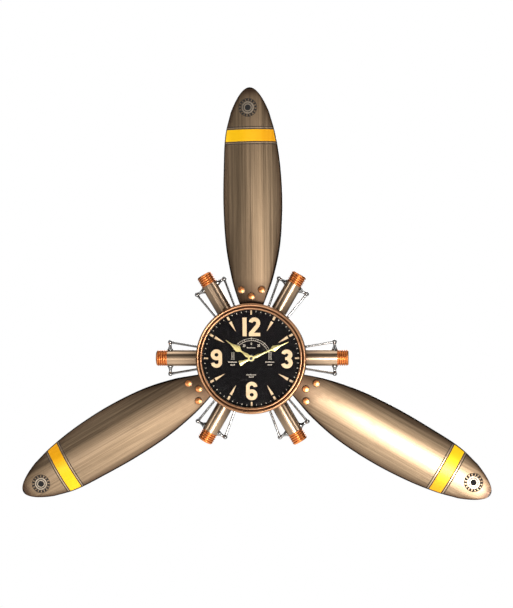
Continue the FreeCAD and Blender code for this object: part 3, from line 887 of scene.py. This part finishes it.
class CLOCK_OT_bezel(bpy.types.Operator):
    """Makes the double beaded copper bezel, its set screws and the glass"""
    bl_idname = "clock.bezel"
    bl_label = "Bezel and glass"

    def execute(self, context):
        outer, sight = sizes().bezel_radius / MM, sizes().sight_radius / MM
        skirt, groove_at, glass_seat = 36.0, 80.35, 44.1
        bezel = Workpiece()
        profile = [(80.1, skirt), (81.4, skirt), (81.4, 43.5), (84.6, 43.5), (84.6, 36.2),
                   (outer - 0.3, skirt), (outer, 36.3), (outer, 41.2), (outer - 0.35, 41.6),
                   (outer - 0.35, 42.3), (outer, 42.7)]
        profile += arc(outer - 2.75, 45.0, 2.75, 3.0, 0, 168, 14) + [(groove_at, 45.2)]
        profile += arc(sight + 2.1, 45.1, 2.1, 2.2, 14, 180, 12)
        profile += [(sight, glass_seat), (78.7, glass_seat), (78.7, 40.2), (80.1, 40.2)]

        def shade(place):
            """Painted shade: dark in the groove between the beads, at the lip and low on the
            skirt.
            """
            r = place.xy.length
            groove = max(0.0, 1 - abs(r - 80.4) / 1.9) if place.z > 44.4 else 0.0
            lip = max(0.0, 1 - abs(r - sight) / 0.8)
            low = max(0.0, 1 - (place.z - skirt) / 5.5) * 0.5
            return min(1.0, max(groove, lip * 0.8, low))

        bezel.turned(profile, 160, closed=True, rim=shade)
        bezel.finish("beaded_bezel", [copper("bezel_copper", finishes().copper)],
                     CASE, "copper_plate", "bezel", crease=50)

        screws = Workpiece()
        for angle in (30, 150, 270):
            screws.turned([(0, 84.2), (0.8, 84.2), (0.8, 85.4), (1.3, 85.5), (1.5, 85.3),
                           (1.5, 80), (0, 80)], 24, radial(angle, 38.2))
        screws.finish("bezel_set_screws", [plain_steel()], CASE, "zinc_fixing",
                      "bezel_screws")

        lens = Workpiece()
        lens.turned([(0, GLASS_BACK), (78.3, GLASS_BACK), (78.3, GLASS_FRONT),
                     (0, GLASS_FRONT)], 128)
        lens.finish("flat_glass", [glass_finish()], CASE, "lens_glass", "lens")
        return {"FINISHED"}


# ---- dial and hands

def add_text(work, text, height, centre, z):
    """Sets a plain number as a thin raised print with the given height and centre."""
    weight, narrow = 0.01, 0.8
    curve = bpy.data.curves.new("number", "FONT")
    curve.body = text
    curve.size = 1.0
    curve.offset = weight
    curve.resolution_u = 8
    curve.fill_mode = "FRONT"
    holder = bpy.data.objects.new("number", curve)
    bpy.context.scene.collection.objects.link(holder)
    seen = holder.evaluated_get(bpy.context.evaluated_depsgraph_get())
    mesh = bpy.data.meshes.new_from_object(seen)
    bpy.data.objects.remove(holder)
    xs = [v.co.x for v in mesh.vertices]
    ys = [v.co.y for v in mesh.vertices]
    scale = height / (max(ys) - min(ys))
    middle = Vector(((max(xs) + min(xs)) / 2, (max(ys) + min(ys)) / 2, 0))
    fit = (shift(centre[0], centre[1], z) @ Matrix.Diagonal((scale * narrow, scale, 1, 1))
           @ shift(*(-middle)))
    verts = [work.bm.verts.new(fit @ v.co) for v in mesh.vertices]
    for polygon in mesh.polygons:
        work.bm.faces.new([verts[i] for i in polygon.vertices])
    bpy.data.meshes.remove(mesh)
    bmesh.ops.remove_doubles(work.bm, verts=work.fresh_verts(), dist=1e-3)
    bmesh.ops.solidify(work.bm, geom=work.fresh_faces(), thickness=PRINT_DEPTH)
    work.outward()
    top = max(v.co.z for v in work.fresh_verts())
    bmesh.ops.translate(work.bm, verts=work.fresh_verts(), vec=(0, 0, z - top))
    work.settle(finish=SMALL)


def stroke(work, points, width, finish, matrix=Matrix(), layer=1):
    """Prints a ribbon of even width along a line of points, its underside sunk."""
    points = [Vector(point) for point in points]
    left, right = [], []
    for index, point in enumerate(points):
        way = points[min(index + 1, len(points) - 1)] - points[max(index - 1, 0)]
        side = Vector((-way.y, way.x)).normalized() * width / 2
        left.append(point + side)
        right.append(point - side)
    z = PRINT_BASE + PRINT_STEP * layer
    work.prism(left + right[::-1], z - PRINT_DEPTH, z)
    work.settle(matrix, finish=finish)


def print_number(work, number, centre, tall):
    """Prints one of the dial's four condensed numbers about its centre.  Strokes that
    cross lie on layers of their own."""
    drawn_tall = 29
    size = tall / drawn_tall
    at = shift(*centre, 0) @ Matrix.Diagonal((size, size, 1, 1))
    if number == "12":
        two = at @ shift(4.9, 0, 0)
        stroke(work, [(-10.6, 14.5), (-10.6, -14.5)], 6.4, CREAM, at)
        stroke(work, [(-13.6, 11.6), (-10.6, 13.0)], 3.0, CREAM, at, layer=2)
        stroke(work, arc(0, 6.1, 5.9, 5.6, 168, -24, 22) + [(4.4, 1.4), (-4.9, -9.4)], 6.0,
               CREAM, two)
        stroke(work, [(-8.8, -11.9), (8.9, -11.9)], 5.2, CREAM, two, layer=2)
        low = PRINT_BASE + PRINT_STEP - PRINT_DEPTH
        work.prism([(-8.8, -9.6), (-8.3, -8.3), (-6.9, -6.6), (-2.4, -9.4)], low,
                   PRINT_BASE + 3 * PRINT_STEP)
        work.settle(two, finish=CREAM)
    elif number == "3":
        stroke(work, arc(0, 6.5, 5.7, 5.2, 165, -75, 24), 6.1, CREAM, at)
        stroke(work, arc(0, -5.8, 6.1, 5.7, 75, -165, 24), 6.2, CREAM, at, layer=2)
        stroke(work, [(-2.4, 0.6), (2.0, 0.6)], 4.4, CREAM, at, layer=3)
    else:
        at = at if number == "6" else at @ turn(180)
        stroke(work, arc(0, -5.9, 6.0, 5.7, 0, 180, 20), 5.6, CREAM, at)
        stroke(work, arc(0, -5.9, 6.0, 5.7, 176, 364, 20), 5.6, CREAM, at, layer=2)
        stroke(work, [(-6.0, -5.9), (-6.0, 5.9)] + arc(0, 5.9, 6.0, 5.7, 180, 6, 20), 5.6,
               CREAM, at, layer=3)


def print_bar(work, r0, r1, w0, w1, angle, finish):
    """Prints a mark along a spoke, in degrees clockwise from twelve."""
    work.prism([(-w0 / 2, r0), (w0 / 2, r0), (w1 / 2, r1), (-w1 / 2, r1)],
               PRINT_BASE - PRINT_DEPTH, PRINT_BASE + PRINT_STEP)
    work.settle(turn(-angle), finish=finish)


def print_hours(work):
    """Prints the split cones, the plain quarter marks and the minute ticks."""
    for hour in range(12):
        if hour % 3:
            print_bar(work, 48.8, 65.6, 0.3, 4.5, 30 * hour, CREAM)
            print_bar(work, 68.6, 74.6, 3.2, 3.5, 30 * hour, CREAM)
        else:
            print_bar(work, 68.0, 74.7, 2.2, 2.4, 30 * hour, CREAM)
        for minute in range(1, 5):
            print_bar(work, 72.2, 74.3, 0.8, 0.9, 30 * hour + 6 * minute, SMALL)


def print_arc_gauge(work):
    """Prints the gauge arc above the hands, with figures inside it."""
    inner, outer, line = 27.6, 30.9, 0.42
    for radius in (inner, outer):
        stroke(work, arc(0, 0, radius, radius, 27, 153, 60), line, SMALL)
    for step in range(-9, 10):
        reach = 32.4 if step % 6 == 0 else outer if step % 3 == 0 else 29.2
        print_bar(work, inner, reach, line, line, step * 7, SMALL)
    for text, angle in (("20", -30), ("0", 0), ("20", 30)):
        bearing = math.radians(angle)
        add_text(work, text, 3.8, (22.8 * math.sin(bearing), 22.8 * math.cos(bearing)),
                 PRINT_BASE + PRINT_STEP)


def print_dashes(work):
    """Prints rows of plain dashes where a maker would put small lettering."""
    for x, y, width in DASH_ROWS:
        count = int(width / 1.7)
        for index in range(count):
            left = x - width / 2 + index * width / count
            tall = 1.7 if index in (0, 3) else 1.2
            work.prism([(left, y), (left + 1.1, y), (left + 1.1, y + tall), (left, y + tall)],
                       PRINT_BASE - PRINT_DEPTH, PRINT_BASE + PRINT_STEP)
            work.settle(finish=SMALL)


def print_columns(work):
    """Prints the two small column gauges either side of the hands."""
    foot, head, line = -1.5, 9.5, 0.45
    for x in (-29, 29):
        for side in (-1.7, 1.7):
            stroke(work, [(x + side, foot), (x + side, head)], line, SMALL)
            stroke(work, [(x + side - 1.1, foot), (x + side + 1.1, foot)], line, SMALL)
        for step in range(5):
            rung = 0.5 + 2 * step
            stroke(work, [(x - 0.6, rung), (x + 0.6, rung)], 0.4, SMALL)


class CLOCK_OT_dial(bpy.types.Operator):
    """Makes the black dial with its numbers, hour marks, minute ticks and gauges"""
    bl_idname = "clock.dial"
    bl_label = "Dial"

    def execute(self, context):
        work = Workpiece()
        bore, back = 4.05, DIAL_FRONT - 1
        work.turned([(bore, back), (DIAL_RADIUS, back), (DIAL_RADIUS, DIAL_FRONT),
                     (bore, DIAL_FRONT)], 128, closed=True)
        tall = sizes().numeral_height / MM
        for number, centre in (("12", (0.2, 49.0)), ("6", (0.2, -51.0)),
                               ("3", (55.2, -1.2)), ("9", (-54.8, -0.3))):
            print_number(work, number, centre, tall)
        print_hours(work)
        print_arc_gauge(work)
        print_dashes(work)
        print_columns(work)
        work.finish("printed_dial", [dial_finish(), print_finish(), small_print_finish()],
                    CASE, "dial_black", "dial")

        ring = Workpiece()
        inside, top = 76.25, 41.4
        ring.turned([(inside, DIAL_FRONT), (DIAL_RADIUS, DIAL_FRONT), (DIAL_RADIUS, top),
                     (inside, top)], 128, edge=0.2, closed=True)
        ring.finish("dial_depth_ring",
                    [paint("ring_paint", (0.02, 0.018, 0.017), rough=(0.35, 0.5))],
                    CASE, "spacer_black", "dial_spacer")
        return {"FINISHED"}


def shape_hand(work, outline, low, high, hub, bore, angle):
    """A pressed hand with a ridge along its middle and a round hub."""
    edge = high - 0.15
    right_side = [(w, r) for r, w in outline[::-1]]
    work.prism([(-w, r) for r, w in outline] + right_side, low, edge)
    cuts = [((0, 0, 0), (1, 0, 0))] + [((0, r, 0), (0, 1, 0)) for r, w in outline[1:-1]]
    for place, way in cuts:
        everything = work.fresh_verts() + work.fresh_edges() + work.fresh_faces()
        bmesh.ops.bisect_plane(work.bm, geom=everything, dist=1e-4, plane_co=place,
                               plane_no=way)
    for vert in work.fresh_verts():
        if abs(vert.co.x) < 1e-4 and vert.co.z > edge - 1e-3:
            half = next(w for r, w in outline if abs(r - vert.co.y) < 1e-3)
            vert.co.z += min(0.75, 0.2 * half)
    work.outward()
    work.settle(turn(-angle))
    work.turned([(bore, low), (hub, low), (hub, high + 0.35), (bore, high + 0.35)], 48,
                turn(-angle), edge=0.12, closed=True)


class CLOCK_OT_hands(bpy.types.Operator):
    """Makes the ridged gold hands and the centre nut"""
    bl_idname = "clock.hands"
    bl_label = "Hands"

    def execute(self, context):
        hour, minute, nut = Workpiece(), Workpiece(), Workpiece()
        shape_hand(hour, HOUR_HAND, 36.7, 37.2, 4.6, 2.5, HOUR_AT)
        hour.finish("gold_hour_hand", [gold_finish()], "hour_train", "hand_gold",
                    "hour_hand", crease=12)
        shape_hand(minute, MINUTE_HAND, 38.4, 38.9, 4.5, 1.45, MINUTE_AT)
        minute.finish("gold_minute_hand", [gold_finish()], "minute_train", "hand_gold",
                      "minute_hand", crease=12)
        nut.turned([(0, 38.95), (2.6, 38.95), (2.6, 39.9)]
                   + arc(0, 39.9, 2.6, 0.5, 15, 90, 5), 32)
        nut.finish("centre_nut",
                   [paint("nut_black", (0.03, 0.028, 0.028), rough=(0.2, 0.3), strength=0.05)],
                   "minute_train", "spacer_black", "hand_nut")
        return {"FINISHED"}


# ---- engine cylinders

def cap_profile():
    """A copper cap's outline: a neck, five round ribs and a hollow crown."""
    profile = [(0, 127.6), (11.4, 127.6), (11.4, 133.4), (11.9, 133.55)]
    ribs, pitch, first, last = 5, 3.4, 133.7, 149.2
    for rib in range(ribs):
        low = first + pitch * rib
        high = low + 2.3 if rib < ribs - 1 else last
        profile += arc(11.55, (low + high) / 2, 0.85, (high - low) / 2, -75, 75, 6)
        if rib < ribs - 1:
            profile += [(11.0, high + 0.15), (11.0, high + 0.95)]
    return profile + [(11.5, 150.2), (10.7, 150.85), (10.0, 151.0), (7.2, 151.0),
                      (6.9, 150.6), (0, 150.6)]


class CLOCK_OT_cylinders(bpy.types.Operator):
    """Makes the six cylinder tubes, their ribbed copper caps and the tie screws"""
    bl_idname = "clock.cylinders"
    bl_label = "Cylinders"

    def execute(self, context):
        tones = finishes()
        radius = sizes().tube_radius / MM
        # the tube's dark tone serves tarnish clouds and the painted shade near the drum
        bronze = metal("tube_bronze", tones.tube_bronze, tones.blade_burnish_and_shade,
                       rough=(0.27, 0.4), stretch=(900, 900, 22), cover=0.4, cloud=50.0,
                       tone=0.22, brush=0.25, groove=True)
        # the dark tone serves tarnish clouds and the painted shade between the ribs
        orange = copper("fresh_copper", tones.bright_copper, (0.40, 0.09, 0.015),
                        rough=(0.32, 0.46), grain=120, cover=0.3)
        wall = ([(radius - 1.2, CYLINDER_FOOT)]
                + [(radius, CYLINDER_FOOT + 5.45 * step) for step in range(11)]
                + [(radius - 1.2, 133.5)])

        def near_drum(place):
            """Painted shade near the drum, fading outwards."""
            return max(0.0, 1 - (place.z - CYLINDER_FOOT) / 46) ** 1.4

        # painted shade in the grooves between the ribs
        def between_ribs(place):
            return 1.0 if place.xy.length < 11.3 and 133 < place.z < 149 else 0.0

        ties = Workpiece()
        for hour, angle in HOURS.items():
            tube, cap = Workpiece(), Workpiece()
            tube.turned(wall, 64, radial(angle), edge=0.3, closed=True, rim=near_drum)
            tube.finish("cylinder_barrel_" + hour, [bronze], CASE, "cylinder_bronze",
                        "cylinder_tube_" + hour)
            cap.turned(cap_profile(), 64, radial(angle), rim=between_ribs)
            cap.finish("ribbed_cap_" + hour, [orange], CASE, "cap_copper",
                       "cylinder_cap_" + hour, crease=50)
            ties.turned([(0, 75.9), (1.9, 75.9), (2.0, 74.9), (3.0, 74.8), (3.8, 75.6),
                         (3.8, 78.7), (0, 78.7)], 32, radial(angle))
        ties.finish("tie_screw_heads", [plain_steel()], CASE, "bracket_steel",
                    "cylinder_ties")
        return {"FINISHED"}


class CLOCK_OT_pushrods(bpy.types.Operator):
    """Makes the chrome rocker posts, the pushrods and the nuts at their feet"""
    bl_idname = "clock.pushrods"
    bl_label = "Pushrods"

    def execute(self, context):
        posts, rods, nuts = Workpiece(), Workpiece(), Workpiece()
        thick, sleeve, ball_radius = 1.8, 2.1, 3.5
        for angle in HOURS.values():
            for side in (1, -1):
                out = turn(angle) @ along((POST_STATION, 0, CYLINDER_DEPTH), (0, side, 0))
                posts.turned([(0, 11.6), (4.5, 11.6), (4.6, 13.4), (4.3, 14.1), (3.7, 14.4),
                              (3.6, 14.9), (2.5, 17.6), (2.1, 20.4), (2.2, 21.2),
                              (2.7, 21.7), (2.7, 22.3), (0, 22.6)], 28, out)
                bmesh.ops.create_uvsphere(posts.bm, u_segments=24, v_segments=12,
                                          radius=ball_radius)
                posts.settle(out @ shift(0, 0, BALL_OUT))
                ball = Vector((POST_STATION, side * BALL_OUT, CYLINDER_DEPTH))
                foot = Vector((ROD_FOOT[0], side * ROD_FOOT[1], CYLINDER_DEPTH))
                run = (ball - foot).length
                lean = turn(angle) @ along(foot, ball - foot)
                rods.turned([(0, 0), (thick, 0), (thick, run - 6.4), (sleeve, run - 6.1),
                             (sleeve, run - 3.2), (0, run - 3.0)], 20, lean)
                nuts.hexagon(6.0, 1.4, 5.5, 0.35, lean)
                nuts.turned([(0, 5.2), (2.7, 5.2), (2.5, 6.3), (1.85, 6.9), (0, 6.9)], 20,
                            lean)
        posts.finish("chrome_rocker_posts", [chrome()], CASE, "bright_chrome",
                     "rocker_posts", crease=50)
        rods.finish("chrome_pushrods", [chrome()], CASE, "bright_chrome", "pushrods")
        nuts.finish("pushrod_foot_nuts", [chrome()], CASE, "bright_chrome", "pushrod_nuts")
        return {"FINISHED"}


# ---- movement and back

class CLOCK_OT_movement(bpy.types.Operator):
    """Makes the cell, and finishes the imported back, brackets, gaskets and movement"""
    bl_idname = "clock.movement"
    bl_label = "Movement"

    def execute(self, context):
        half, radius, wrap_end = 25.25, 7.25, 15.7
        cell = Workpiece()
        cell.turned([(0, -half), (4.2, -half), (4.4, -25.0), (6.6, -25.0), (7.1, -24.7),
                     (radius, -24.2), (radius, 15.6), (7.22, wrap_end), (7.22, 15.8),
                     (radius, 15.9), (radius, 23.4), (7.05, 23.9), (6.4, 24.2),
                     (2.9, 24.25), (2.75, 24.4), (2.75, 25.0), (2.4, half), (0, half)], 48,
                    shift(0, -19, 23.85) @ turn(90, "Y"),
                    rim=lambda place: 1.0 if place.z > wrap_end else 0.0)
        wrap, tree, surface = new_material("cell_wrap")
        band = attribute(tree, "rim")
        scuff = tarnish(tree, place_of(tree), 90.0, 0.4)
        shade = mix_colour(tree, band, (0.03, 0.05, 0.07), (0.62, 0.42, 0.18))
        shade = mix_colour(tree, times(tree, scuff, 0.3), shade, (0.3, 0.3, 0.3))
        wire(surface, {"Base Color": shade, "Metallic": times(tree, band, 0.8),
                       "Roughness": ramp(tree, scuff, 0, 1, 0.25, 0.5, smooth=False)})
        cell.finish("dry_cell", [wrap], CASE, "battery_wrap", "battery")

        node_finishes = (
            (paint("back_paint", finishes().case_black, rough=(0.4, 0.6), own=False,
                   size=900.0), ("case_back",)),
            (plain_steel(own=False),
             ("hanger_plate", "blade_brackets", "battery_contacts", "stator")),
            (paint("gasket_rubber", (0.02, 0.02, 0.02), rough=(0.7, 0.85), own=False),
             ("lens_gasket", "movement_washer")),
            (paint("seat_paint", (0.03, 0.027, 0.025), own=False),
             ("dial_seat", "movement_nut")),
            (paint("movement_moulding", (0.022, 0.022, 0.024), rough=(0.42, 0.6), own=False,
                   size=1400.0, strength=0.35), ("movement_housing", "movement_cover")),
            (paint("knob_moulding", (0.12, 0.12, 0.12), rough=(0.4, 0.5), own=False,
                   size=1400.0), ("setting_knob",)),
            (paint("board_mask", (0.02, 0.16, 0.07), rough=(0.3, 0.4), own=False),
             ("circuit_board",)),
            (metal("coil_wire", (0.7, 0.28, 0.09), (0.3, 0.1, 0.03),
                   stretch=(9000, 200, 200), own=False), ("coil",)),
            (paint("gear_acetal", (0.8, 0.78, 0.7), rough=(0.4, 0.5), own=False, size=1800.0),
             ("minute_arbor", "motion_wheel", "hour_wheel", "third_wheel", "seconds_wheel")),
        )
        for material, names in node_finishes:
            for name in names:
                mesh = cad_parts[name].data
                mesh.materials.clear()
                mesh.materials.append(material)
        return {"FINISHED"}


# ---- stage

def lay_floor(scene, tone):
    half_width, half_depth, level = 9.0, 5.6, -1.25
    bm = bmesh.new()
    bmesh.ops.create_grid(bm, x_segments=1, y_segments=1, size=1)
    bmesh.ops.scale(bm, verts=bm.verts, vec=(half_width, half_depth, 1))
    bmesh.ops.translate(bm, verts=bm.verts, vec=(0, -3.3, level))
    mesh = bpy.data.meshes.new("studio_floor")
    bm.to_mesh(mesh)
    bm.free()
    floor = bpy.data.objects.new("studio_floor", mesh)
    scene.collection.objects.link(floor)
    material, _, surface = new_material("pale_floor")
    wire(surface, {"Base Color": (*tone, 1), "Roughness": 0.8})
    mesh.materials.append(material)


def surround(scene, room_light):
    """White to the eye, soft on matt surfaces and dim in reflections."""
    world = bpy.data.worlds.new("studio_surround")
    world.use_nodes = True
    tree = world.node_tree
    path = node(tree, "LightPath")
    room = mix_colour(tree, path.outputs["Is Diffuse Ray"], (room_light,) * 3, (0.5,) * 3)
    seen = mix_colour(tree, path.outputs["Is Camera Ray"], room, (1.0,) * 3)
    wire(tree.nodes["Background"], {"Color": seen})
    scene.world = world


def hang_softbox(scene, name, place, aim, width, height, power, colour):
    light = bpy.data.lights.new(name, "AREA")
    light.shape = "RECTANGLE"
    light.size, light.size_y = width, height
    light.energy = power
    light.color = colour
    lamp = bpy.data.objects.new(name, light)
    lamp.location = place
    lamp.rotation_euler = (Vector(aim) - Vector(place)).to_track_quat("-Z", "Y").to_euler()
    scene.collection.objects.link(lamp)


def set_camera(scene, distance):
    lens = bpy.data.cameras.new("clock_camera")
    lens.lens = 70.7
    lens.sensor_width = 36.0
    lens.sensor_fit = "HORIZONTAL"
    lens.clip_start = 0.05
    camera = bpy.data.objects.new("clock_camera", lens)
    yaw, tilt, roll = 4.249, 89.825, -0.349
    camera.matrix_world = (shift(0.1248, -distance, 0.0894)
                           @ turn(yaw) @ turn(tilt, "X") @ turn(roll))
    scene.collection.objects.link(camera)
    scene.camera = camera


class CLOCK_OT_stage(bpy.types.Operator):
    """Lays the floor, hangs the softboxes and sets the camera"""
    bl_idname = "clock.stage"
    bl_label = "Stage"

    def execute(self, context):
        scene = context.scene
        stage = scene.clock_stage
        lay_floor(scene, stage.floor_tone)
        surround(scene, stage.room_light)
        for name, place, aim, width, height, power, colour in SOFTBOXES:
            hang_softbox(scene, name, place, aim, width, height,
                         power * stage.soft_light, colour)
        set_camera(scene, stage.camera_distance)
        scene.view_settings.view_transform = "Standard"
        return {"FINISHED"}


# ---- panel and start

PIECES = (CLOCK_OT_blades, CLOCK_OT_blade_fixings, CLOCK_OT_case, CLOCK_OT_bezel,
          CLOCK_OT_dial, CLOCK_OT_hands, CLOCK_OT_cylinders, CLOCK_OT_pushrods,
          CLOCK_OT_movement, CLOCK_OT_stage)


class CLOCK_PT_panel(bpy.types.Panel):
    bl_label = "Propeller Wall Clock"
    bl_idname = "CLOCK_PT_panel"
    bl_space_type = "VIEW_3D"
    bl_region_type = "UI"
    bl_category = "Clock"

    def draw(self, context):
        layout = self.layout
        scene = context.scene
        for settings in (scene.clock_sizes, scene.clock_finishes, scene.clock_stage):
            box = layout.box()
            for name in settings.__annotations__:
                box.prop(settings, name)
        for piece in PIECES:
            layout.operator(piece.bl_idname)


CLASSES = (ClockSizes, ClockFinishes, ClockStage, *PIECES, CLOCK_PT_panel)


def register():
    for made in CLASSES:
        bpy.utils.register_class(made)
    bpy.types.Scene.clock_sizes = bpy.props.PointerProperty(type=ClockSizes)
    bpy.types.Scene.clock_finishes = bpy.props.PointerProperty(type=ClockFinishes)
    bpy.types.Scene.clock_stage = bpy.props.PointerProperty(type=ClockStage)


def unregister():
    del bpy.types.Scene.clock_stage
    del bpy.types.Scene.clock_finishes
    del bpy.types.Scene.clock_sizes
    for made in reversed(CLASSES):
        bpy.utils.unregister_class(made)


def main():
    register()
    bpy.ops.clock.blades()
    bpy.ops.clock.blade_fixings()
    bpy.ops.clock.case()
    bpy.ops.clock.bezel()
    bpy.ops.clock.dial()
    bpy.ops.clock.hands()
    bpy.ops.clock.cylinders()
    bpy.ops.clock.pushrods()
    bpy.ops.clock.movement()
    bpy.ops.clock.stage()


if __name__ == "__main__":
    main()
